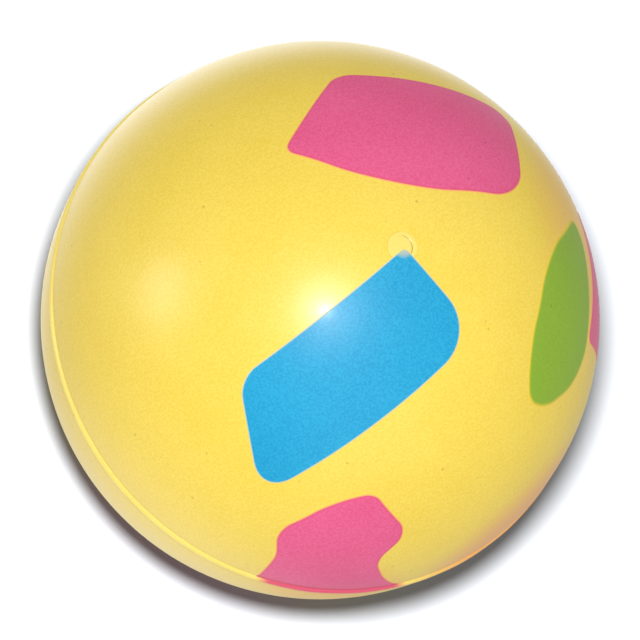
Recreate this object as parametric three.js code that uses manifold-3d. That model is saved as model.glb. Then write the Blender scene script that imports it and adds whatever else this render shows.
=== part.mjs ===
// A hollow, air-filled rubber dog ball. Two moulded half shells are cemented rim to rim by a seam band that
// stands a little proud. A self-sealing plug fills the inflation hole at the crown. Patches of coloured
// coating lie flush in shallow pockets of the shells.
// Millimetres, +Z up through the plug, origin in the middle of the small flat that the ball rests on.
import * as THREE from 'three';
import { mergeVertices } from 'three/addons/utils/BufferGeometryUtils.js';
import Module from 'manifold-3d';

const wasm = await Module();
wasm.setup();

// Ball: outer radius, rubber wall, and the contact flat that its own weight presses into the rubber.
const BALL_RADIUS = 32.5;
const WALL = 4.5;
const REST_FLAT_RADIUS = 4;

// Seam band between the two rims: its height, and how far its ridge stands proud of the ball.
const SEAM_HEIGHT = 1.5;
const SEAM_RIDGE = 0.25;

// Inflation plug: the hole, the flange's reach beyond the hole and its thickness, and the spare width of the
// flat seat that the flange bears on.
const PLUG_HOLE_RADIUS = 1.8;
const PLUG_FLANGE_REACH = 3.7;
const PLUG_FLANGE_THICKNESS = 2;
const PLUG_SEAT_MARGIN = 1;

// Patches: coat thickness, the gap round a coat in its pocket, the gap round the plug's stem, and the bare
// rubber kept beside the seam, the inflation hole and the rest flat.
const COAT_THICKNESS = 0.4;
const COAT_GAP = 0.3;
const STEM_GAP = 0.3;
const BARE_MARGIN = 0.8;

// The lower half is sprayed through the same stencils as the upper half, with the ball turned over about a
// level axis at this azimuth, in degrees.
const TURN_OVER_AZIMUTH = -20;

// Facets: steps round the ball, and on each arc of the outer skin, the inner skin, the plug's face and a
// patch's corner.
const TURN_STEPS = 40;
const OUTER_ARC_STEPS = 10;
const INNER_ARC_STEPS = 6;
const PLUG_FACE_STEPS = 2;
const CORNER_STEPS = 3;

// Sizes that follow from the ones above.
const INNER_RADIUS = BALL_RADIUS - WALL;
const CENTRE_HEIGHT = Math.sqrt(BALL_RADIUS ** 2 - REST_FLAT_RADIUS ** 2);
const RIM_HEIGHT = SEAM_HEIGHT / 2;
const PLUG_STEM_RADIUS = PLUG_HOLE_RADIUS - STEM_GAP;
const PLUG_FLANGE_RADIUS = PLUG_HOLE_RADIUS + PLUG_FLANGE_REACH;
const PLUG_SEAT_RADIUS = PLUG_FLANGE_RADIUS + PLUG_SEAT_MARGIN;
const PLUG_SEAT_HEIGHT = Math.sqrt(INNER_RADIUS ** 2 - PLUG_SEAT_RADIUS ** 2);
const POCKET_DEPTH = COAT_THICKNESS + COAT_GAP;
const WEDGE_START = BALL_RADIUS / 2;
const WEDGE_END = BALL_RADIUS * 2;

// Finishes.
const YELLOW_RUBBER = { color: 0xf6da50, roughness: 0.35, metalness: 0 };
const SEAM_RUBBER = { color: 0xf9e27a, roughness: 0.4, metalness: 0 };
const PLUG_RUBBER = { color: 0xf3dc78, roughness: 0.45, metalness: 0 };
const BLUE_COAT = { color: 0x32aee4, roughness: 0.35, metalness: 0 };
const GREEN_COAT = { color: 0x8cb444, roughness: 0.35, metalness: 0 };
const PINK_COAT = { color: 0xe6608f, roughness: 0.35, metalness: 0 };

// A patch's outline is drawn as if it were peeled flat: degrees of arc from the patch's middle, east along
// the ball's turn and north towards the plug, anticlockwise. Each corner is cut back by its last value and
// rounded.
const corner = (east, north, cut) => ({ at: new THREE.Vector2(east, north), cut });

const UPPER_PATCHES = [
  {
    name: 'blue_patch',
    finish: BLUE_COAT,
    polar: 27,
    azimuth: -112,
    corners: [corner(0.5, 26.5, 1.5), corner(-19.7, -11.7, 5), corner(-5, -34, 10), corner(22, 17.3, 11.5)],
  },
  {
    name: 'green_patch',
    finish: GREEN_COAT,
    polar: 46,
    azimuth: -12,
    corners: [
      corner(25, -4.5, 3.2),
      corner(9.5, 12, 12),
      corner(-12, 11, 9),
      corner(-21, 1, 4),
      corner(-6.5, -11, 9),
      corner(19, -8, 3),
    ],
  },
  {
    name: 'pink_crown_patch',
    finish: PINK_COAT,
    polar: 31,
    azimuth: 79,
    corners: [
      corner(26.5, 10.3, 3),
      corner(3.5, 20, 16),
      corner(-25.8, 9.2, 7),
      corner(-24.5, -20, 7),
      corner(-0.5, -14.6, 12),
      corner(15.8, -12.6, 4),
    ],
  },
  {
    name: 'pink_seam_patch',
    finish: PINK_COAT,
    polar: 75,
    azimuth: -93,
    corners: [
      corner(0.8, 23.2, 6),
      corner(-9.3, 17.4, 5),
      corner(-14.8, 7, 3.6),
      corner(-13, -1, 3.6),
      corner(-12.2, -17, 1.5),
      corner(19.6, -17, 1.5),
      corner(7.8, 2, 3.6),
      corner(10.9, 8, 2.4),
      corner(9.2, 15.8, 4.5),
    ],
  },
  {
    name: 'pink_side_patch',
    finish: PINK_COAT,
    polar: 70,
    azimuth: 6,
    corners: [corner(-14.8, 13.4, 3), corner(-16.5, -13, 5), corner(15, -12, 5), corner(13.5, 7.2, 2.5)],
  },
];

// Solids and meshes.

// A closed geometry as a solid that can be cut and joined.
function solidOf(geometry) {
  geometry.deleteAttribute('normal');
  geometry.deleteAttribute('uv');
  const merged = mergeVertices(geometry);
  const corners = merged.index.array;
  const triangles = [];
  for (let first = 0; first < corners.length; first += 3) {
    const [a, b, c] = corners.slice(first, first + 3);
    if (a !== b && b !== c && c !== a) triangles.push(a, b, c);
  }
  return new wasm.Manifold(new wasm.Mesh({
    numProp: 3,
    vertProperties: Float32Array.from(merged.attributes.position.array),
    triVerts: Uint32Array.from(triangles),
  }));
}

// A solid as a named mesh with its own finish.
function pieceOf(name, solid, finish) {
  const { vertProperties, triVerts } = solid.getMesh();
  const geometry = new THREE.BufferGeometry();
  geometry.setAttribute('position', new THREE.BufferAttribute(vertProperties, 3));
  geometry.setIndex(new THREE.BufferAttribute(triVerts, 1));
  geometry.computeVertexNormals();
  const piece = new THREE.Mesh(geometry, new THREE.MeshStandardMaterial(finish));
  piece.name = name;
  return piece;
}

// Profiles are drawn in the plane of reach from the ball's axis and height above the ball's centre.

const latitudeAtHeight = (radius, height) => Math.asin(height / radius);
const latitudeAtReach = (radius, reach) => Math.acos(reach / radius);

// A run of points along a circle about the ball's centre, from one latitude to another.
function arc(radius, fromLatitude, toLatitude, steps) {
  const clockwise = toLatitude < fromLatitude;
  return new THREE.EllipseCurve(0, 0, radius, radius, fromLatitude, toLatitude, clockwise).getPoints(steps);
}

// The solid that a profile sweeps in a full turn about the ball's axis.
function turned(profile) {
  return solidOf(new THREE.LatheGeometry(profile, TURN_STEPS).rotateX(Math.PI / 2));
}

// A profile that closes on its first point.
const closed = (points) => [...points, points[0].clone()];

function upperShell() {
  return turned(closed([
    ...arc(
      BALL_RADIUS,
      latitudeAtHeight(BALL_RADIUS, RIM_HEIGHT),
      latitudeAtReach(BALL_RADIUS, PLUG_HOLE_RADIUS),
      OUTER_ARC_STEPS,
    ),
    new THREE.Vector2(PLUG_HOLE_RADIUS, PLUG_SEAT_HEIGHT),
    ...arc(
      INNER_RADIUS,
      latitudeAtReach(INNER_RADIUS, PLUG_SEAT_RADIUS),
      latitudeAtHeight(INNER_RADIUS, RIM_HEIGHT),
      INNER_ARC_STEPS,
    ),
  ]));
}

function lowerShell() {
  return turned([
    new THREE.Vector2(0, -CENTRE_HEIGHT),
    ...arc(
      BALL_RADIUS,
      -latitudeAtReach(BALL_RADIUS, REST_FLAT_RADIUS),
      -latitudeAtHeight(BALL_RADIUS, RIM_HEIGHT),
      OUTER_ARC_STEPS,
    ),
    ...arc(
      INNER_RADIUS,
      -latitudeAtHeight(INNER_RADIUS, RIM_HEIGHT),
      -Math.PI / 2,
      INNER_ARC_STEPS,
    ).slice(0, -1),
    new THREE.Vector2(0, -INNER_RADIUS),
  ]);
}

// The band fills the gap between the rims, flush with the inner skin, and bulges out as a rounded ridge.
function seamBand() {
  const outerRim = BALL_RADIUS * Math.cos(latitudeAtHeight(BALL_RADIUS, RIM_HEIGHT));
  const innerRim = INNER_RADIUS * Math.cos(latitudeAtHeight(INNER_RADIUS, RIM_HEIGHT));
  const crest = BALL_RADIUS + SEAM_RIDGE;
  const ridge = new THREE.QuadraticBezierCurve(
    new THREE.Vector2(outerRim, -RIM_HEIGHT),
    new THREE.Vector2(2 * crest - outerRim, 0),
    new THREE.Vector2(outerRim, RIM_HEIGHT),
  );
  return turned(closed([
    ...ridge.getPoints(2 * CORNER_STEPS),
    new THREE.Vector2(innerRim, RIM_HEIGHT),
    new THREE.Vector2(innerRim, -RIM_HEIGHT),
  ]));
}

// The plug's flange seats flat under the hole, and its stem ends flush with the ball's skin.
function inflationPlug() {
  const flangeBase = PLUG_SEAT_HEIGHT - PLUG_FLANGE_THICKNESS;
  const stemLatitude = latitudeAtReach(BALL_RADIUS, PLUG_STEM_RADIUS);
  return turned([
    new THREE.Vector2(0, flangeBase),
    new THREE.Vector2(PLUG_FLANGE_RADIUS, flangeBase),
    new THREE.Vector2(PLUG_FLANGE_RADIUS, PLUG_SEAT_HEIGHT),
    new THREE.Vector2(PLUG_STEM_RADIUS, PLUG_SEAT_HEIGHT),
    ...arc(BALL_RADIUS, stemLatitude, Math.PI / 2, PLUG_FACE_STEPS).slice(0, -1),
    new THREE.Vector2(0, BALL_RADIUS),
  ]);
}

// A layer of the ball between two radii and two latitudes.
function layer(outerRadius, innerRadius, fromLatitude, toLatitude) {
  return turned(closed([
    ...arc(outerRadius, fromLatitude, toLatitude, OUTER_ARC_STEPS),
    ...arc(innerRadius, toLatitude, fromLatitude, OUTER_ARC_STEPS),
  ]));
}

// Patch outlines.

// The corners moved outwards so that every side shifts by the same amount.
function grown(corners, growth) {
  const outward = (from, to) => new THREE.Vector2(to.y - from.y, from.x - to.x).normalize();
  return corners.map(({ at, cut }, index) => {
    const before = outward(corners.at(index - 1).at, at);
    const after = outward(at, corners[(index + 1) % corners.length].at);
    const shift = before.clone().add(after).multiplyScalar(growth / (1 + before.dot(after)));
    return { at: at.clone().add(shift), cut };
  });
}

// The outline through rounded corners.
function outlineOf(corners) {
  const outline = new THREE.Shape();
  const cutBack = ({ at, cut }, towards) => towards.at.clone().sub(at).setLength(cut).add(at);
  corners.forEach((here, index) => {
    const start = cutBack(here, corners.at(index - 1));
    const end = cutBack(here, corners[(index + 1) % corners.length]);
    if (index === 0) outline.moveTo(start.x, start.y);
    else outline.lineTo(start.x, start.y);
    outline.quadraticCurveTo(here.at.x, here.at.y, end.x, end.y);
  });
  outline.closePath();
  return outline;
}

// A patch's middle is tipped down from the crown about the first axis and turned into place about the second.
const TIP_AXIS = new THREE.Vector3(0, 1, 0);
const BALL_AXIS = new THREE.Vector3(0, 0, 1);

// The direction from the ball's centre to a point of a peeled-flat outline.
function directionOf(patch, east, north) {
  const flat = new THREE.Vector2(east, north);
  const bend = THREE.MathUtils.degToRad(flat.length());
  flat.setLength(Math.sin(bend));
  return new THREE.Vector3(-flat.y, flat.x, Math.cos(bend))
    .applyAxisAngle(TIP_AXIS, THREE.MathUtils.degToRad(patch.polar))
    .applyAxisAngle(BALL_AXIS, THREE.MathUtils.degToRad(patch.azimuth));
}

// A tapered block from deep inside the ball to well outside it, whose sides point at the ball's centre and
// whose section is the patch's outline.
function wedge(patch, corners) {
  const block = new THREE.ExtrudeGeometry(outlineOf(corners), {
    depth: 1,
    bevelEnabled: false,
    curveSegments: CORNER_STEPS,
  });
  const { position } = block.attributes;
  for (let index = 0; index < position.count; index += 1) {
    const reach = THREE.MathUtils.lerp(WEDGE_START, WEDGE_END, position.getZ(index));
    const place = directionOf(patch, position.getX(index), position.getY(index)).multiplyScalar(reach);
    position.setXYZ(index, place.x, place.y, place.z);
  }
  return solidOf(block);
}

// The same stencil on the other half of the ball.
function turnedOver(patch) {
  return {
    ...patch,
    polar: 180 - patch.polar,
    azimuth: 2 * TURN_OVER_AZIMUTH - patch.azimuth,
    corners: patch.corners.map(({ at, cut }) => ({ at: at.clone().negate(), cut })),
  };
}

// Half shells with their patches.

// The patches of one half as coats, and the shell with a pocket for each. A coat keeps clear of the shell's
// two edges. Its pocket is larger all round by the coat's gap, and the pocket's cutter ends well outside the
// ball.
function coatedHalf(half, shell, patches, fromLatitude, toLatitude) {
  const gapAngle = COAT_GAP / BALL_RADIUS;
  const coatLayer = layer(BALL_RADIUS, BALL_RADIUS - COAT_THICKNESS, fromLatitude, toLatitude);
  const pocketLayer = layer(
    BALL_RADIUS + WALL,
    BALL_RADIUS - POCKET_DEPTH,
    fromLatitude - gapAngle,
    toLatitude + gapAngle,
  );
  let body = shell;
  const coats = patches.map((patch) => {
    const pocketCorners = grown(patch.corners, THREE.MathUtils.radToDeg(gapAngle));
    body = body.subtract(pocketLayer.intersect(wedge(patch, pocketCorners)));
    return pieceOf(`${half}_${patch.name}`, coatLayer.intersect(wedge(patch, patch.corners)), patch.finish);
  });
  return [pieceOf(`${half}_half_shell`, body, YELLOW_RUBBER), ...coats];
}

const seamLatitude = latitudeAtHeight(BALL_RADIUS, RIM_HEIGHT + BARE_MARGIN);
const holeLatitude = latitudeAtReach(BALL_RADIUS, PLUG_HOLE_RADIUS + BARE_MARGIN);
const flatLatitude = latitudeAtReach(BALL_RADIUS, REST_FLAT_RADIUS + BARE_MARGIN);

const ball = new THREE.Group();
ball.position.z = CENTRE_HEIGHT;
ball.add(
  ...coatedHalf('upper', upperShell(), UPPER_PATCHES, seamLatitude, holeLatitude),
  ...coatedHalf('lower', lowerShell(), UPPER_PATCHES.map(turnedOver), -flatLatitude, -seamLatitude),
  pieceOf('seam_band', seamBand(), SEAM_RUBBER),
  pieceOf('inflation_plug', inflationPlug(), PLUG_RUBBER),
);

export default ball;
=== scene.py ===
# %% [markdown]
# # A rubber dog ball
# The real ball is a hollow shell of yellow rubber, about as wide as a tennis ball. Two moulded halves are
# cemented together, and the join stands up as a thin ridge. A small plug at the crown closes the hole where
# the ball was blown up, and pink, blue and green coats were sprayed on through stencils.
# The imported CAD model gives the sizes. This lesson dresses it: each CAD solid gets a finer piece in its
# place.

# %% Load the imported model
import math

import bmesh
import bpy
from mathutils import Color, Matrix, Vector


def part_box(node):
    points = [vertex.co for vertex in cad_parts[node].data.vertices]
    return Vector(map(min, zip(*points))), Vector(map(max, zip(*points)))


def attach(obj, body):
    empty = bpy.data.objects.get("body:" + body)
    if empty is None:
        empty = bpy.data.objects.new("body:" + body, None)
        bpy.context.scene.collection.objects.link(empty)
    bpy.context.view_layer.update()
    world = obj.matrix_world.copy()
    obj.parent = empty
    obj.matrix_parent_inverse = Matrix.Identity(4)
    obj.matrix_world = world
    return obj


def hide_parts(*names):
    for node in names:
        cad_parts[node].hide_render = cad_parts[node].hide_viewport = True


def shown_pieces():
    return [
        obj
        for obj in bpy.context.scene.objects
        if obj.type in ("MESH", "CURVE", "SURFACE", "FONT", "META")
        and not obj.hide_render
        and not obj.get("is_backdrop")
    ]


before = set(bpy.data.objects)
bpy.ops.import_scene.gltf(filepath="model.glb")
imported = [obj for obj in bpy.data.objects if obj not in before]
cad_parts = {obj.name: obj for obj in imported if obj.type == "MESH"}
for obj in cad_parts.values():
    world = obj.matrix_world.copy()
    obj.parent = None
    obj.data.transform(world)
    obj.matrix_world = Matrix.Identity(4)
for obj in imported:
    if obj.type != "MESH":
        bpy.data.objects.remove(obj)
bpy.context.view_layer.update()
print("solids in the frame:", len(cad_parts))

# %% [markdown]
# ## Measure the ball
# A dressed piece has to sit exactly where its solid is, so the main sizes are read from the solids' boxes.
# The seam band lies round the middle of the ball and the plug's face is its highest point, which gives the
# centre and the radius.

# %% Measure the ball
MM = 0.001
WORLD_UP = Vector((0, 0, 1))
ABOVE, BELOW = 1, -1
QUARTER_TURN = math.pi / 2
FULL_TURN = 4 * QUARTER_TURN

seam_low, seam_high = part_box("seam_band")
plug_low, plug_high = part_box("inflation_plug")
centre = Vector((0, 0, (seam_low.z + seam_high.z) / 2))
ball_radius = plug_high.z - centre.z
ridge_radius = seam_high.x
rim_height = (seam_high.z - seam_low.z) / 2
print(f"ball radius {ball_radius / MM:.2f} mm, ridge radius {ridge_radius / MM:.2f} mm")
print(f"centre {centre.z / MM:.2f} mm up, rims {rim_height / MM:.2f} mm above and below it")

# %% [markdown]
# ## A small language for finishes
# A finish is a tree of shader nodes. Wiring nodes one by one hides the idea, so two small classes help.
# A wire is one node's output, and arithmetic on wires adds Math nodes, so that `1 - mask` means what it
# says. A finish owns the tree, and its one method adds any other node.

# %% Wires and finishes
class Wire:
    """One output of a node. Arithmetic with wires and numbers adds Math nodes."""

    def __init__(self, finish, socket):
        self.finish = finish
        self.socket = socket

    def joined(self, operation, first, second):
        return self.finish.node("ShaderNodeMath", {"operation": operation}, {0: first, 1: second})

    def __add__(self, other):
        return self.joined("ADD", self, other)

    def __radd__(self, other):
        return self.joined("ADD", other, self)

    def __sub__(self, other):
        return self.joined("SUBTRACT", self, other)

    def __rsub__(self, other):
        return self.joined("SUBTRACT", other, self)

    def __mul__(self, other):
        return self.joined("MULTIPLY", self, other)

    def __rmul__(self, other):
        return self.joined("MULTIPLY", other, self)


class Finish:
    """A node tree in the making, of a material or of the world."""

    def __init__(self, owner):
        owner.use_nodes = True
        self.owner = owner
        self.tree = owner.node_tree
        self.tree.nodes.clear()

    def node(self, kind, settings, sockets, output=0):
        made = self.tree.nodes.new(kind)
        for setting, value in settings.items():
            setattr(made, setting, value)
        for name, value in sockets.items():
            if isinstance(value, Wire):
                self.tree.links.new(value.socket, made.inputs[name])
            else:
                made.inputs[name].default_value = value
        return Wire(self, made.outputs[output]) if made.outputs else made


# %% [markdown]
# ## Helpers for colours and masks
# Colours are written as screen values from 0 to 255, as a paint program shows them, and turned into the
# linear values that shaders work in. Noise is asked for by the width of its features on the real ball, in
# metres. Directions on the ball are given as a polar angle, which counts from the plug and is 90 degrees for
# a level direction, and an azimuth.

# %% Colours, noise and masks
SCREEN_WHITE = 255
LEVEL = 90
MIX_SHARE, MIX_FIRST, MIX_SECOND, MIX_RESULT = 0, 6, 7, 2


def paint(red, green, blue):
    """A screen colour as the linear red, green, blue and alpha of a socket."""
    screen = Color((red / SCREEN_WHITE, green / SCREEN_WHITE, blue / SCREEN_WHITE))
    return (*screen.from_srgb_to_scene_linear(), 1)


def grey(level):
    """A neutral screen colour."""
    return paint(level, level, level)


def blend(finish, first, second, share):
    """A colour that goes from first to second as share goes from 0 to 1."""
    sockets = {MIX_SHARE: share, MIX_FIRST: first, MIX_SECOND: second}
    return finish.node("ShaderNodeMix", {"data_type": "RGBA"}, sockets, MIX_RESULT)


def rise(finish, value, low, high):
    """A mask that is 0 up to low, 1 from high, and climbs smoothly between."""
    sockets = {"Value": value, "From Min": low, "From Max": high}
    return finish.node("ShaderNodeMapRange", {"interpolation_type": "SMOOTHSTEP"}, sockets)


def noise(finish, place, width):
    """Cloudy noise from 0 to 1, with features about as wide as width, in metres."""
    return finish.node("ShaderNodeTexNoise", {}, {"Vector": place, "Scale": 1 / width})


def distance(finish, place, point):
    """How far a place is from a point, in metres."""
    return finish.node("ShaderNodeVectorMath", {"operation": "DISTANCE"}, {0: place, 1: point}, "Value")


def toward(polar, azimuth):
    """The outward direction at an angle from the plug and an angle round the ball, both in degrees."""
    tilted = Matrix.Rotation(math.radians(polar), 3, "Y")
    turned = Matrix.Rotation(math.radians(azimuth), 3, "Z")
    return turned @ tilted @ WORLD_UP


def spot(finish, place, direction, full, none):
    """A round mask on the ball: 1 within full degrees of a direction, 0 beyond none degrees."""
    outward = finish.node("ShaderNodeVectorMath", {"operation": "SUBTRACT"}, {0: place, 1: centre})
    outward = finish.node("ShaderNodeVectorMath", {"operation": "NORMALIZE"}, {0: outward})
    facing = finish.node(
        "ShaderNodeVectorMath", {"operation": "DOT_PRODUCT"}, {0: outward, 1: direction}, "Value"
    )
    return rise(finish, facing, math.cos(math.radians(none)), math.cos(math.radians(full)))


WHITE = grey(SCREEN_WHITE)
print("white as a linear colour:", WHITE)

# %% [markdown]
# ## The rubber skin
# Moulded rubber is not one flat colour. Its pigment is a little cloudy, powder from the mould leaves a fine
# grain, and a few dark specks get into every batch. The skin is half glossy, with a faint orange peel, and
# a trace of polish on top gives a lamp's highlight its small white core.
# All of it is noise on Object coordinates, so that the pattern runs on unbroken from one piece to the next.

# %% Grain and gloss that every finish shares
CLOUD_WIDTH = 8 * MM
GRAIN_WIDTH = 0.27 * MM
PEEL_WIDTH = 0.6 * MM
PEEL_DEPTH = 0.004 * MM
SPECK_SPACING = 2.6 * MM
SPECK_CORE, SPECK_EDGE = 0.04, 0.09
SPECK_RARE, SPECK_COMMON = 0.5, 0.58
SPECK_STRENGTH = 0.55
GRAIN_LOW, GRAIN_HIGH = 0.35, 0.65
GRAIN_STRENGTH = 0.5
POLISH_ROUGHNESS = 0.15


def grained(finish, place, deep, pale, speck):
    """A cloudy colour between deep and pale, with fine grain and a few specks in it."""
    cloud = noise(finish, place, CLOUD_WIDTH)
    grain = rise(finish, noise(finish, place, GRAIN_WIDTH), GRAIN_LOW, GRAIN_HIGH)
    share = cloud * (1 - GRAIN_STRENGTH) + grain * GRAIN_STRENGTH
    colour = blend(finish, deep, pale, share)
    sockets = {"Vector": place, "Scale": 1 / SPECK_SPACING}
    from_middle = finish.node("ShaderNodeTexVoronoi", {}, sockets, "Distance")
    dot = 1 - rise(finish, from_middle, SPECK_CORE, SPECK_EDGE)
    chosen = rise(finish, cloud, SPECK_RARE, SPECK_COMMON)
    return blend(finish, colour, speck, dot * chosen * SPECK_STRENGTH)


def glossy(finish, place, colour, smooth, rough, mirror, polish):
    """Ends a finish: a mirror share, roughness that varies a little, orange peel, and some polish on top."""
    roughness = smooth + (rough - smooth) * noise(finish, place, CLOUD_WIDTH)
    peel = noise(finish, place, PEEL_WIDTH)
    normal = finish.node("ShaderNodeBump", {}, {"Height": peel, "Distance": PEEL_DEPTH})
    sockets = {"Base Color": colour, "Roughness": roughness, "Normal": normal}
    sockets |= {"Specular IOR Level": mirror, "Coat Weight": polish, "Coat Roughness": POLISH_ROUGHNESS}
    surface = finish.node("ShaderNodeBsdfPrincipled", {}, sockets)
    finish.node("ShaderNodeOutputMaterial", {}, {"Surface": surface})
    return finish.owner


def started(name):
    """A new finish and its Object coordinates."""
    finish = Finish(bpy.data.materials.new(name))
    return finish, finish.node("ShaderNodeTexCoord", {}, {}, "Object")


# %% [markdown]
# ## Yellow rubber
# The shells are yellow all through. Where pink was sprayed, some of the mist drifted past the stencil and
# warmed the yellow to orange, so a few wide soft spots are mixed in: beside the pink patch on the ball's
# right side, low at the right where the mist is densest, and at the seam where a patch runs into it.

# %% Yellow rubber
YELLOW_DEEP = paint(240, 206, 62)
YELLOW_PALE = paint(252, 224, 95)
YELLOW_SPECK = paint(196, 158, 60)
PINK_MIST = paint(248, 170, 92)
FAINT_MIST, DENSE_MIST = 0.38, 0.85
UPPER_SEAM_PATCH = -90
LOWER_SEAM_PATCH = 52
MISTS = (
    {"direction": toward(60, 13), "full": 5, "none": 28, "strength": FAINT_MIST},
    {"direction": toward(94, -46), "full": 10, "none": 30, "strength": DENSE_MIST},
    {"direction": toward(91, UPPER_SEAM_PATCH), "full": 7, "none": 18, "strength": FAINT_MIST},
    {"direction": toward(89, LOWER_SEAM_PATCH), "full": 7, "none": 18, "strength": FAINT_MIST},
)
RUBBER_GLOSS = {"smooth": 0.31, "rough": 0.39, "mirror": 0.7, "polish": 0.08}


def misted(finish, place, colour):
    """A colour with the drifts of pink mist on it."""
    for mist in MISTS:
        drift = spot(finish, place, mist["direction"], mist["full"], mist["none"])
        colour = blend(finish, colour, PINK_MIST, drift * mist["strength"])
    return colour


def yellow_rubber():
    finish, place = started("yellow_rubber")
    colour = misted(finish, place, grained(finish, place, YELLOW_DEEP, YELLOW_PALE, YELLOW_SPECK))
    return glossy(finish, place, colour, **RUBBER_GLOSS)


yellow = yellow_rubber()
print("made", yellow.name, "with", len(yellow.node_tree.nodes), "nodes")

# %% [markdown]
# ## Seam rubber and plug rubber
# The ridge at the seam is cement and rubber squeezed out of the mould, a little paler than the shell. Where
# a pink patch runs into it, the side of the ridge that faced the spray is pink, and the far side is clean.
# The plug is a paler, newer rubber, and it is rubbed smooth. The tool that pressed it in left a fine curved
# line on its face, off the middle and deeper at one side. On that deep side the line is painted darker, as
# painted shade in the groove.

# %% Seam rubber and plug rubber
SEAM_DEEP = paint(245, 218, 96)
SEAM_PALE = paint(251, 231, 124)
SEAM_PINK = paint(228, 84, 116)
SEAM_PINK_FULL, SEAM_PINK_NONE = 13, 16.5
SEAM_PINK_CLEAN, SEAM_PINK_SPRAYED = -0.45 * MM, 0.3 * MM
PLUG_DEEP = paint(245, 218, 98)
PLUG_PALE = paint(252, 228, 120)
# Painted shade for the curved line's groove, laid only on its deep side.
PLUG_GROOVE_SHADE = paint(206, 172, 76)
MARK_RADIUS = 1.38 * MM
MARK_SHIFT = toward(LEVEL, 185) * 0.24 * MM
MARK_DEEP_SIDE = toward(3.5, 15)
MARK_DEEP_FULL, MARK_DEEP_NONE = 1.5, 4.5
GROOVE_SHADE_NEAR, GROOVE_SHADE_FAR = 0.02 * MM, 0.1 * MM
PLUG_GLOSS = {"smooth": 0.3, "rough": 0.4, "mirror": 0.7, "polish": 0.08}
plug_top = centre + WORLD_UP * ball_radius


def above_seam(finish, place):
    """The height above the middle of the seam, in metres."""
    return finish.node("ShaderNodeSeparateXYZ", {}, {"Vector": place}, "Z") - centre.z


def seam_rubber():
    finish, place = started("seam_rubber")
    colour = misted(finish, place, grained(finish, place, SEAM_DEEP, SEAM_PALE, YELLOW_SPECK))
    for azimuth, side in ((UPPER_SEAM_PATCH, ABOVE), (LOWER_SEAM_PATCH, BELOW)):
        patch = spot(finish, place, toward(LEVEL, azimuth), SEAM_PINK_FULL, SEAM_PINK_NONE)
        facing = rise(finish, above_seam(finish, place) * side, SEAM_PINK_CLEAN, SEAM_PINK_SPRAYED)
        colour = blend(finish, colour, SEAM_PINK, patch * facing)
    return glossy(finish, place, colour, **RUBBER_GLOSS)


def plug_rubber():
    finish, place = started("plug_rubber")
    colour = grained(finish, place, PLUG_DEEP, PLUG_PALE, YELLOW_SPECK)
    # The curved line is painted darker on its deep side: painted shade in the groove.
    off_line = distance(finish, place, plug_top + MARK_SHIFT) - MARK_RADIUS
    line = 1 - rise(finish, off_line * off_line, GROOVE_SHADE_NEAR ** 2, GROOVE_SHADE_FAR ** 2)
    deep_side = spot(finish, place, MARK_DEEP_SIDE, MARK_DEEP_FULL, MARK_DEEP_NONE)
    colour = blend(finish, colour, PLUG_GROOVE_SHADE, line * deep_side)
    return glossy(finish, place, colour, **PLUG_GLOSS)


seam_finish = seam_rubber()
plug_finish = plug_rubber()
print("made", seam_finish.name, "and", plug_finish.name)

# %% [markdown]
# ## The three coats
# Each coat is thin flexible paint, a little duller than the rubber. Its edge tells how it was sprayed: the
# pink piles up in a redder line along the stencil and ends in a peach halo where a little crept under it,
# the blue ends in a pale line, and the green fades out because its stencil stood off the rubber.
# The patch meshes carry an attribute with the distance from their edge, in millimetres, for the coats to
# read. Beside the seam a coat turns to its edge colour, as painted shade in the crease there, and it lies
# thin on the plug, where it was rubbed off.

# %% The three coats
EDGE_ATTRIBUTE = "edge_mm"
COAT_GLOSS = {"smooth": 0.37, "rough": 0.45, "mirror": 0.45, "polish": 0.05}
HALO_THIN, HALO_WIDTH = 0.06, 0.28
# Painted shade in the crease beside the seam: within these heights of the seam a coat turns to its edge
# colour.
CREASE_SHADE_NEAR, CREASE_SHADE_FAR = 0.9 * MM, 1.7 * MM
CREASE_SHADE_STRENGTH = 0.9
RUBBED_FULL, RUBBED_NONE = 1, 2.7
RUBBED_STRENGTH = 0.45
COATS = {
    "pink": {
        "deep": paint(225, 78, 127), "pale": paint(241, 106, 155), "speck": paint(176, 46, 94),
        "edge": paint(222, 54, 92), "halo": paint(248, 176, 106), "edge_width": 0.5, "edge_strength": 0.9,
    },
    "blue": {
        "deep": paint(2, 146, 198), "pale": paint(38, 176, 220), "speck": paint(20, 118, 174),
        "edge": paint(196, 206, 190), "halo": paint(226, 218, 168), "edge_width": 0.26, "edge_strength": 0.7,
    },
    "green": {
        "deep": paint(134, 173, 37), "pale": paint(148, 186, 53), "speck": paint(100, 136, 36),
        "edge": YELLOW_DEEP, "halo": YELLOW_DEEP, "edge_width": 0.6, "edge_strength": 1,
    },
}


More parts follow.
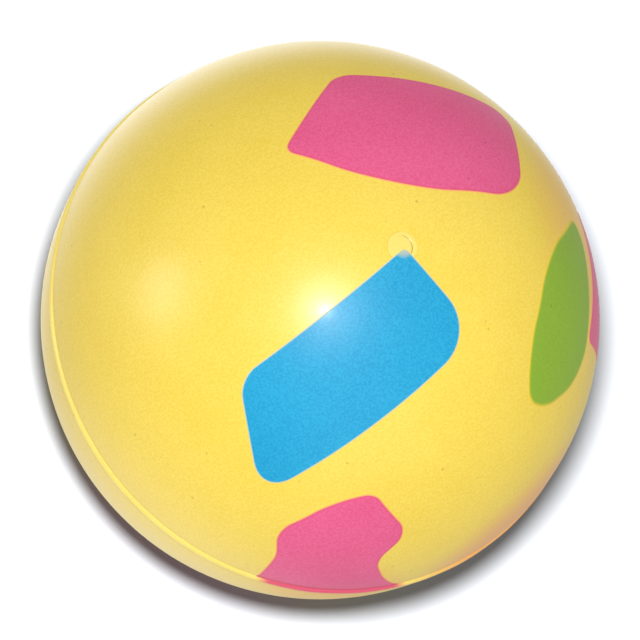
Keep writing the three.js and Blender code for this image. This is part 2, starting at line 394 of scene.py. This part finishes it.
def coat(name, deep, pale, speck, edge, halo, edge_width, edge_strength):
    """A sprayed coat that turns to its edge colour over edge_width millimetres, and at last to its halo."""
    finish, place = started(name)
    colour = grained(finish, place, deep, pale, speck)
    inward = finish.node("ShaderNodeAttribute", {"attribute_name": EDGE_ATTRIBUTE}, {}, "Fac")
    near_edge = 1 - rise(finish, inward, 0, edge_width)
    colour = blend(finish, colour, edge, near_edge * edge_strength)
    colour = blend(finish, colour, halo, 1 - rise(finish, inward, HALO_THIN, HALO_WIDTH))
    # Painted shade: close to the seam the coat turns to its edge colour, where the crease would be shaded.
    height = above_seam(finish, place)
    crease_shade = 1 - rise(finish, height * height, CREASE_SHADE_NEAR ** 2, CREASE_SHADE_FAR ** 2)
    colour = blend(finish, colour, edge, crease_shade * CREASE_SHADE_STRENGTH)
    rubbed = spot(finish, place, WORLD_UP, RUBBED_FULL, RUBBED_NONE)
    colour = blend(finish, colour, PLUG_PALE, rubbed * RUBBED_STRENGTH)
    return glossy(finish, place, colour, **COAT_GLOSS)


coats = {name: coat(name + "_coat", **recipe) for name, recipe in COATS.items()}
print("coats:", ", ".join(coats))

# %% [markdown]
# ## From a bmesh to a piece of the ball
# Every piece ends in the same way: smooth shading with sharp creases, its material, and a parent that it
# rides on, while the CAD solid that it stands for is hidden.

# %% Finish a piece
CREASE_ANGLE = math.radians(50)


def finish_piece(bm, name, node, material):
    """Makes a bmesh into a named object that stands for one CAD solid."""
    mesh = bpy.data.meshes.new(name)
    bm.to_mesh(mesh)
    bm.free()
    mesh.shade_smooth()
    mesh.set_sharp_from_angle(angle=CREASE_ANGLE)
    mesh.materials.append(material)
    piece = bpy.data.objects.new(name, mesh)
    bpy.context.scene.collection.objects.link(piece)
    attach(piece, "root")
    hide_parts(node)
    print(f"{name}: {len(mesh.polygons)} faces for {node}")


# %% [markdown]
# ## The two half shells
# A half shell is a body of revolution, so one closed profile is drawn and spun round the ball's axis. The
# profile itself is drawn by spinning too: one vertex swung about the ball's centre leaves an arc behind it.
# The outer arc lies a coat's thickness inside the ball's radius, so that the coats end up flush with it.
# The lips at the rim and at the plug's hole are rounded by bevelling the profile's corners before the spin.

# %% Tools for bodies of revolution
COAT_HEIGHT = 0.04 * MM
WALL = 4.5 * MM
SKIN_STEPS = 96
INNER_STEPS = 24
TURN_STEPS = 192
LIP_SEGMENTS = 4
ROUND_PROFILE = 0.5
MERGE_DISTANCE = 0.0005 * MM
SWING_AXIS = Vector((0, 1, 0))
skin_radius = ball_radius - COAT_HEIGHT
inner_radius = ball_radius - WALL


def swing(bm, vertex, angle, steps):
    """Swings a vertex about the ball's centre, down for a positive angle, and returns the arc's far end."""
    made = bmesh.ops.spin(bm, geom=[vertex], cent=centre, axis=SWING_AXIS, angle=angle, steps=steps)
    return next(part for part in made["geom_last"] if isinstance(part, bmesh.types.BMVert))


def step_to(bm, vertex, x, z):
    """Draws a straight line of the profile from a vertex to a radius x and a height z."""
    made = bmesh.ops.extrude_vert_indiv(bm, verts=[vertex])["verts"][0]
    made.co = Vector((x, 0, z))
    return made


def round_off(bm, vertex, width, segments):
    """Rounds one corner of a flat outline."""
    bmesh.ops.bevel(
        bm, geom=[vertex], offset=width, offset_type="OFFSET", segments=segments, profile=ROUND_PROFILE,
        affect="VERTICES", clamp_overlap=True,
    )


def turn(bm):
    """Spins a closed profile once round the ball's axis and closes the skin."""
    bmesh.ops.spin(
        bm, geom=bm.verts[:] + bm.edges[:], cent=centre, axis=WORLD_UP, angle=FULL_TURN,
        steps=TURN_STEPS, use_merge=True,
    )
    bmesh.ops.remove_doubles(bm, verts=bm.verts, dist=MERGE_DISTANCE)
    bmesh.ops.recalc_face_normals(bm, faces=bm.faces)


print(f"the rubber skin lies at {skin_radius / MM:.2f} mm")

# %% The upper half shell
RIM_LIP = 0.2 * MM
HOLE_LIP = 0.02 * MM
HOLE_RADIUS = 1.8 * MM
FLANGE_THICKNESS = 2 * MM
SEAT_MARGIN = 1 * MM
flange_radius = plug_high.x
seat_radius = flange_radius + SEAT_MARGIN
seat_height = plug_low.z + FLANGE_THICKNESS
rim_angle = math.asin(rim_height / skin_radius)
hole_angle = math.asin(HOLE_RADIUS / skin_radius)


def upper_half_skin():
    bm = bmesh.new()
    hole_top = centre.z + skin_radius * math.cos(hole_angle)
    hole_edge = bm.verts.new((HOLE_RADIUS, 0, hole_top))
    rim_edge = swing(bm, hole_edge, QUARTER_TURN - hole_angle - rim_angle, SKIN_STEPS)
    seat_edge = step_to(bm, step_to(bm, hole_edge, HOLE_RADIUS, seat_height), seat_radius, seat_height)
    seat_angle = math.atan2(seat_radius, seat_height - centre.z)
    inner_edge = swing(bm, seat_edge, QUARTER_TURN - seat_angle - rim_angle, INNER_STEPS)
    bm.edges.new((inner_edge, rim_edge))
    round_off(bm, hole_edge, HOLE_LIP, LIP_SEGMENTS)
    round_off(bm, rim_edge, RIM_LIP, LIP_SEGMENTS)
    turn(bm)
    finish_piece(bm, "upper_half_skin", "upper_half_shell", yellow)


upper_half_skin()

# %% The lower half shell, with the small flat that the ball rests on
flat_radius = math.sqrt(skin_radius ** 2 - centre.z ** 2)
flat_angle = math.asin(flat_radius / skin_radius)


def lower_half_skin():
    bm = bmesh.new()
    rim_edge = bm.verts.new((skin_radius * math.cos(rim_angle), 0, centre.z - rim_height))
    flat_edge = swing(bm, rim_edge, QUARTER_TURN - rim_angle - flat_angle, SKIN_STEPS)
    step_to(bm, flat_edge, 0, 0)
    inner_reach = inner_radius * math.cos(rim_angle)
    inner_height = centre.z - inner_radius * math.sin(rim_angle)
    inner_rim = step_to(bm, rim_edge, inner_reach, inner_height)
    swing(bm, inner_rim, QUARTER_TURN - rim_angle, INNER_STEPS)
    round_off(bm, rim_edge, RIM_LIP, LIP_SEGMENTS)
    turn(bm)
    finish_piece(bm, "lower_half_skin", "lower_half_shell", yellow)


lower_half_skin()

# %% [markdown]
# ## The seam bead
# The join is a bead of squeezed-out rubber, sunk between the two rims so that only its crest stands proud. A
# circle pressed to an oval and spun round the ball makes it. The real one was trimmed by hand, so its crest
# is shaved a little here and there: a few slow waves, all of them inwards.

# %% The seam bead
BEAD_SEGMENTS = 28
BEAD_DEPTH = 0.9 * MM
TRIM_DEPTH = 0.07 * MM
TRIM_WAVES = (5, 13, 31)


def trimmed(angle):
    """How much of the trim is cut off at an angle round the ball, from 0 to 1."""
    waves = [math.sin(count * angle + count) for count in TRIM_WAVES]
    return (1 + sum(waves) / len(waves)) / 2


def seam_bead():
    bm = bmesh.new()
    made = bmesh.ops.create_circle(bm, segments=BEAD_SEGMENTS, radius=1)
    bmesh.ops.scale(bm, vec=(BEAD_DEPTH, rim_height, 1), verts=made["verts"])
    bmesh.ops.rotate(bm, cent=(0, 0, 0), matrix=Matrix.Rotation(QUARTER_TURN, 3, "X"), verts=made["verts"])
    bmesh.ops.translate(bm, vec=(ridge_radius - BEAD_DEPTH, 0, centre.z), verts=made["verts"])
    turn(bm)
    for vertex in bm.verts:
        angle = math.atan2(vertex.co.y, vertex.co.x)
        outward = Vector((math.cos(angle), math.sin(angle), 0))
        vertex.co -= outward * TRIM_DEPTH * trimmed(angle)
    finish_piece(bm, "seam_bead", "seam_band", seam_finish)


seam_bead()

# %% [markdown]
# ## The inflation plug
# The ball was blown up through a hollow needle, and the hole was closed by a rubber plug, a stem with a
# flange that the air inside presses against the wall. Only the stem's round face shows, and it fills its
# hole but for a hair. The face's profile has three close points for the curved line. The ring that the
# middle one leaves is pressed in after the spin, with a steep wall inside it and a gentler slope outside.

# %% The inflation plug
STEM_RADIUS = 1.79 * MM
STEM_LIP = 0.02 * MM
FLANGE_LIP = 0.4 * MM
FACE_STEPS = 6
FACE_SINK = 0.03 * MM
MARK_WALL = 0.06 * MM
MARK_SLOPE = 0.12 * MM
MARK_DEPTH = 0.07 * MM


def press_mark(bm):
    """Cuts the curved line into the plug's face and moves it off the middle."""
    away = -MARK_SHIFT.normalized()
    face = [vertex for vertex in bm.verts if vertex.co.z > seat_height]
    for vertex in face:
        reach = vertex.co.xy.length
        if abs(reach - MARK_RADIUS) < MARK_WALL / 2:
            vertex.co.z -= MARK_DEPTH * max(0, vertex.co.dot(away) / reach)
        if reach < MARK_RADIUS + MARK_SLOPE + MARK_WALL:
            vertex.co += MARK_SHIFT


def plug_piece():
    bm = bmesh.new()
    face_radius = ball_radius - FACE_SINK
    stem_edge = bm.verts.new((0, 0, centre.z + face_radius))
    drawn = 0
    for radius in (MARK_RADIUS - MARK_WALL, MARK_RADIUS, MARK_RADIUS + MARK_SLOPE, STEM_RADIUS):
        angle = math.asin(radius / face_radius)
        steps = FACE_STEPS if drawn == 0 else 1
        stem_edge = swing(bm, stem_edge, angle - drawn, steps)
        drawn = angle
    stem_foot = step_to(bm, stem_edge, STEM_RADIUS, seat_height)
    flange_top = step_to(bm, stem_foot, flange_radius, seat_height)
    flange_bottom = step_to(bm, flange_top, flange_radius, plug_low.z)
    step_to(bm, flange_bottom, 0, plug_low.z)
    for corner, width in ((stem_edge, STEM_LIP), (flange_top, FLANGE_LIP), (flange_bottom, FLANGE_LIP)):
        round_off(bm, corner, width, LIP_SEGMENTS)
    turn(bm)
    press_mark(bm)
    finish_piece(bm, "plug_stem", "inflation_plug", plug_finish)


plug_piece()

# %% [markdown]
# ## The patches
# A stencil is cut flat and bends round the ball when it is held on, and a patch is made in the same order.
# Its corners are laid out flat, in degrees of arc east and north of the patch's middle, each with the length
# that its rounding takes off the two sides. The rounded outline is inset in narrow rings that shape the
# edge, then in wide rings that let it bend, and the flat film is wrapped on the ball.
# The lower half was sprayed through the same stencils with the ball turned over.

# %% The stencils
UPPER_STENCILS = {
    "blue": {"coat": "blue", "polar": 27, "azimuth": -112, "corners": (
        (0.3, 27.3, 1.4), (-20, -11.8, 4.4), (-4.6, -34.4, 8.6), (9.5, -9, 14), (22.2, 16.9, 10))},
    "green": {"coat": "green", "polar": 46, "azimuth": -12, "corners": (
        (25, -4.4, 3.6), (10.4, 11.4, 8.6), (-12.2, 11.6, 7.4), (-20.4, 4.4, 2.6), (-19.4, -2.2, 3.4),
        (-8.4, -12.7, 7.8), (19.4, -8.4, 2.6))},
    "pink_crown": {"coat": "pink", "polar": 31, "azimuth": 79, "corners": (
        (26.6, 11.2, 2.6), (3.5, 20.5, 13.8), (-26.7, 9.2, 8.2), (-25.9, -21, 6), (-0.5, -14.6, 10.4),
        (15.2, -12.7, 3.6))},
    "pink_seam": {"coat": "pink", "polar": 75, "azimuth": -93, "corners": (
        (1.5, 22.9, 2.4), (-6.6, 19.4, 5), (-15.4, 7.6, 3.8), (-13, -1, 1.8), (-14, -21, 3.2),
        (24.4, -21, 3.2), (12.4, -7.6, 4), (7.7, 1.8, 3.2), (12.1, 11.8, 4.4))},
    "pink_side": {"coat": "pink", "polar": 70, "azimuth": 6, "corners": (
        (-16, 13.4, 2.6), (-17.5, -13, 4.4), (15, -12, 4.4), (13.5, 7.2, 2.2))},
}
TURN_OVER_AZIMUTH = -20


def turned_over(stencil):
    """The same stencil on the lower half, with the ball turned over about a level axis."""
    corners = tuple((-east, -north, cut) for east, north, cut in stencil["corners"])
    polar = 2 * LEVEL - stencil["polar"]
    azimuth = 2 * TURN_OVER_AZIMUTH - stencil["azimuth"]
    return {"coat": stencil["coat"], "polar": polar, "azimuth": azimuth, "corners": corners}


lower_stencils = {name: turned_over(stencil) for name, stencil in UPPER_STENCILS.items()}
print("patches:", 2 * len(UPPER_STENCILS))

# %% Cut, inset and wrap one film
DEGREES_PER_MM = math.degrees(MM / ball_radius)
CORNER_SEGMENTS = 12
OUTLINE_STEP = 0.8
EDGE_RINGS_MM = (0.06, 0.14, 0.26, 0.42, 0.7)
BODY_RINGS = (0.93, 0.84, 0.74, 0.63, 0.51, 0.38, 0.24, 0.1)
BODY_EDGE_MM = 2
EDGE_ROUND_MM = 0.2
EDGE_SINK = 0.02 * MM
FILM_ROOT = 0.15 * MM
SEAM_CLEARANCE = 0.05 * MM
FLAT_CLEARANCE = 0.12 * MM


def flat_film(corners):
    """A flat film in degrees of arc, in rings, with the distance from its edge stored at each vertex."""
    bm = bmesh.new()
    inward = bm.verts.layers.float.new(EDGE_ATTRIBUTE)
    outline = [bm.verts.new((east, north, 0)) for east, north, cut in corners]
    bm.faces.new(outline)
    for vertex, (east, north, cut) in zip(outline, corners):
        round_off(bm, vertex, cut, CORNER_SEGMENTS)
    film = next(iter(bm.faces))
    for edge in film.edges[:]:
        bmesh.ops.bisect_edges(bm, edges=[edge], cuts=int(edge.calc_length() / OUTLINE_STEP))
    last = 0
    for ring in EDGE_RINGS_MM:
        width = (ring - last) * DEGREES_PER_MM
        bmesh.ops.inset_individual(bm, faces=[film], thickness=width, use_even_offset=True)
        last = ring
        for vertex in film.verts:
            vertex[inward] = ring
    last = 1
    for ring in BODY_RINGS:
        bmesh.ops.inset_individual(bm, faces=[film], thickness=0)
        bmesh.ops.scale(bm, vec=(ring / last, ring / last, 1), verts=film.verts)
        last = ring
        for vertex in film.verts:
            vertex[inward] = BODY_EDGE_MM
    bmesh.ops.poke(bm, faces=[film])
    return bm, inward


def wrap(bm, inward, polar, azimuth):
    """Bends a flat film round the ball, with its rounded edge sunk just into the rubber."""
    hold = Matrix.Rotation(math.radians(azimuth), 3, "Z") @ Matrix.Rotation(math.radians(polar), 3, "Y")
    for vertex in bm.verts:
        climb = min(vertex[inward] / EDGE_ROUND_MM, 1)
        radius = skin_radius - EDGE_SINK + (COAT_HEIGHT + EDGE_SINK) * math.sin(climb * QUARTER_TURN)
        south_east = Vector((-vertex.co.y, vertex.co.x, 0))
        bend = math.radians(south_east.length)
        local = south_east.normalized() * math.sin(bend) + WORLD_UP * math.cos(bend)
        vertex.co = centre + hold @ local * radius


def trim(bm, height, side):
    """Cuts a film off beyond a level plane."""
    bmesh.ops.bisect_plane(
        bm, geom=bm.verts[:] + bm.edges[:] + bm.faces[:], plane_co=(0, 0, height),
        plane_no=WORLD_UP * side, clear_inner=True,
    )


def rooted(bm):
    """Closes a film underneath with a copy of itself, sunk into the rubber."""
    made = bmesh.ops.extrude_face_region(bm, geom=bm.faces[:], use_keep_orig=True)
    root = [part for part in made["geom"] if isinstance(part, bmesh.types.BMVert)]
    shrink = 1 - FILM_ROOT / ball_radius
    bmesh.ops.scale(bm, vec=(shrink, shrink, shrink), space=Matrix.Translation(-centre), verts=root)
    bmesh.ops.recalc_face_normals(bm, faces=bm.faces)


def film_piece(half, name, stencil, side):
    bm, inward = flat_film(stencil["corners"])
    wrap(bm, inward, stencil["polar"], stencil["azimuth"])
    trim(bm, centre.z + side * (rim_height + SEAM_CLEARANCE), side)
    trim(bm, FLAT_CLEARANCE, ABOVE)
    rooted(bm)
    slot_name = stencil["coat"] + "_coat"
    finish_piece(bm, f"{half}_{name}_film", f"{half}_{name}_patch", coats[stencil["coat"]])


for name, stencil in UPPER_STENCILS.items():
    film_piece("upper", name, stencil, ABOVE)
for name, stencil in lower_stencils.items():
    film_piece("lower", name, stencil, BELOW)

# %% [markdown]
# ## The camera
# The photograph looks down on the crown from a little to one side. So the camera starts straight above the
# plug and swings about the ball's centre, without rolling, and stands 40 radii off, as a long lens does. The
# lens follows from how much of the frame's width the ball fills.

# %% The camera
CAMERA_SWING = math.radians(22.8)
CAMERA_BEARING = math.radians(-138.5)
CAMERA_RADII = 40
BALL_FILL = 0.874
SENSOR_WIDTH = 36

bearing = Matrix.Rotation(CAMERA_BEARING, 3, "Z")
look = bearing @ Matrix.Rotation(CAMERA_SWING, 3, "Y") @ bearing.inverted()
camera_distance = CAMERA_RADII * ball_radius


def facing_ball(name, data, turned, away):
    """An object that looks at the ball's centre along its own -Z, from some way away."""
    made = bpy.data.objects.new(name, data)
    bpy.context.scene.collection.objects.link(made)
    made.matrix_world = Matrix.Translation(centre) @ turned.to_4x4() @ Matrix.Translation((0, 0, away))
    return made


lens_data = bpy.data.cameras.new("camera")
lens_data.sensor_width = SENSOR_WIDTH
lens_data.lens = SENSOR_WIDTH / 2 * BALL_FILL / math.tan(math.asin(1 / CAMERA_RADII))
bpy.context.scene.camera = facing_ball("camera", lens_data, look, camera_distance)
print(f"lens {lens_data.lens:.0f} mm at {camera_distance:.2f} m")

# %% [markdown]
# ## Floor and background
# The ball stands on a plain pale floor in a white room, and both come out white. Close to the ball the floor
# is greyer, which keeps the ball's shadow deep. What the floor throws back on the ball is kept low, so that
# the form is not washed out. Only in the rubber's gloss does the floor have two paler places, as if cards
# lay there: a wide one behind the ball and a smaller one in front. Each leaves a sheen along the outline.

# %% Floor and background
FLOOR_HALF_WIDTH = 2
FLOOR_NEAR_COLOUR = paint(160, 162, 166)
FLOOR_NEAR = 0.08
FLOOR_FAR = 0.4
FLOOR_BOUNCE = grey(108)
CARDS = (
    {"colour": grey(198), "middle": toward(LEVEL, 88) * 46 * MM, "near": 15 * MM, "far": 80 * MM},
    {"colour": grey(154), "middle": toward(LEVEL, 230) * 54 * MM, "near": 12 * MM, "far": 54 * MM},
)
ROOM_LIGHT = 0.43
ROOM_MIRRORED = 0.1


def ray(finish, kind):
    """1 for rays of one kind, such as those that leave the camera, and 0 for all others."""
    return finish.node("ShaderNodeLightPath", {}, {}, f"Is {kind} Ray")


def floor():
    bm = bmesh.new()
    bmesh.ops.create_grid(bm, x_segments=1, y_segments=1, size=FLOOR_HALF_WIDTH)
    mesh = bpy.data.meshes.new("floor")
    bm.to_mesh(mesh)
    bm.free()
    finish = Finish(bpy.data.materials.new("pale_floor"))
    place = finish.node("ShaderNodeTexCoord", {}, {}, "Object")
    far = rise(finish, distance(finish, place, (0, 0, 0)), FLOOR_NEAR, FLOOR_FAR)
    mirrored = FLOOR_BOUNCE
    for card in CARDS:
        beyond = rise(finish, distance(finish, place, card["middle"]), card["near"], card["far"])
        mirrored = blend(finish, card["colour"], mirrored, beyond)
    colour = blend(finish, FLOOR_BOUNCE, mirrored, ray(finish, "Glossy"))
    seen = ray(finish, "Camera") + ray(finish, "Transmission")
    colour = blend(finish, colour, blend(finish, FLOOR_NEAR_COLOUR, WHITE, far), seen)
    surface = finish.node("ShaderNodeBsdfDiffuse", {}, {"Color": colour})
    finish.node("ShaderNodeOutputMaterial", {}, {"Surface": surface})
    mesh.materials.append(finish.owner)
    made = bpy.data.objects.new("floor", mesh)
    bpy.context.scene.collection.objects.link(made)
    made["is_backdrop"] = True
    return made


def room():
    world = bpy.data.worlds.new("white_room")
    bpy.context.scene.world = world
    finish = Finish(world)
    seen = ray(finish, "Camera") + ray(finish, "Transmission") + ROOM_MIRRORED * ray(finish, "Glossy")
    strength = ROOM_LIGHT + (1 - ROOM_LIGHT) * seen
    background = finish.node("ShaderNodeBackground", {}, {"Color": WHITE, "Strength": strength})
    finish.node("ShaderNodeOutputWorld", {}, {"Surface": background})


floor_piece = floor()
room()
bpy.context.scene.view_settings.view_transform = "Standard"
print("room light", ROOM_LIGHT)

# %% [markdown]
# ## Lamps
# Five round soft boxes make the studio. The key lamp is close beside the camera and leaves the small hot
# highlight. A weaker one at the left leaves the second, softer one. Two wide ones, low at the front and high
# at the right, lift the ball's darker sides, and are hidden from its gloss, so that they leave no highlight.
# These four light the ball alone. A background lamp near the camera's line of sight lights the floor alone,
# as is usual where a floor has to come out white, and gives the narrow soft shadow.

# %% Lamps
KEY_LEFT = math.radians(-2.4)
KEY_UP = math.radians(3.6)
KEY_DISTANCE = 1.2
KEY_WIDTH = 0.105
KEY_POWER = 7.4
SIDE_LEFT = math.radians(66.6)
SIDE_UP = math.radians(9.5)
SIDE_DISTANCE = 0.6
SIDE_WIDTH = 0.22
SIDE_POWER = 0.5
FILL_LEFT = math.radians(-20)
FILL_UP = math.radians(-44)
FILL_POWER = 1.55
RIGHT_LEFT = math.radians(-60)
RIGHT_UP = math.radians(48)
RIGHT_POWER = 0.5
SOFT_DISTANCE = 0.7
SOFT_WIDTH = 0.6
BACKGROUND_LEFT = math.radians(-0.65)
BACKGROUND_UP = math.radians(3.3)
BACKGROUND_DISTANCE = 0.6
BACKGROUND_WIDTH = 0.064
BACKGROUND_POWER = 13.5


def lamp(name, left, up, away, width, power, lit):
    """A round soft box for some objects, at angles left of and above the camera's line of sight."""
    data = bpy.data.lights.new(name, "AREA")
    data.shape = "DISK"
    data.size = width
    data.energy = power
    turned = look @ Matrix.Rotation(-left, 3, "Y") @ Matrix.Rotation(-up, 3, "X")
    made = facing_ball(name, data, turned, away)
    made.visible_camera = False
    made.light_linking.receiver_collection = bpy.data.collections.new(name + "_lights")
    for receiver in lit:
        made.light_linking.receiver_collection.objects.link(receiver)
    print(f"{name}: {power} W")
    return made


ball_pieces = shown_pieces()
lamp("key_lamp", KEY_LEFT, KEY_UP, KEY_DISTANCE, KEY_WIDTH, KEY_POWER, ball_pieces)
lamp("side_lamp", SIDE_LEFT, SIDE_UP, SIDE_DISTANCE, SIDE_WIDTH, SIDE_POWER, ball_pieces)
fill_lamp = lamp("fill_lamp", FILL_LEFT, FILL_UP, SOFT_DISTANCE, SOFT_WIDTH, FILL_POWER, ball_pieces)
right_lamp = lamp("right_lamp", RIGHT_LEFT, RIGHT_UP, SOFT_DISTANCE, SOFT_WIDTH, RIGHT_POWER, ball_pieces)
for soft_lamp in (fill_lamp, right_lamp):
    soft_lamp.visible_glossy = False
lamp(
    "background_lamp", BACKGROUND_LEFT, BACKGROUND_UP, BACKGROUND_DISTANCE, BACKGROUND_WIDTH,
    BACKGROUND_POWER, [floor_piece],
)
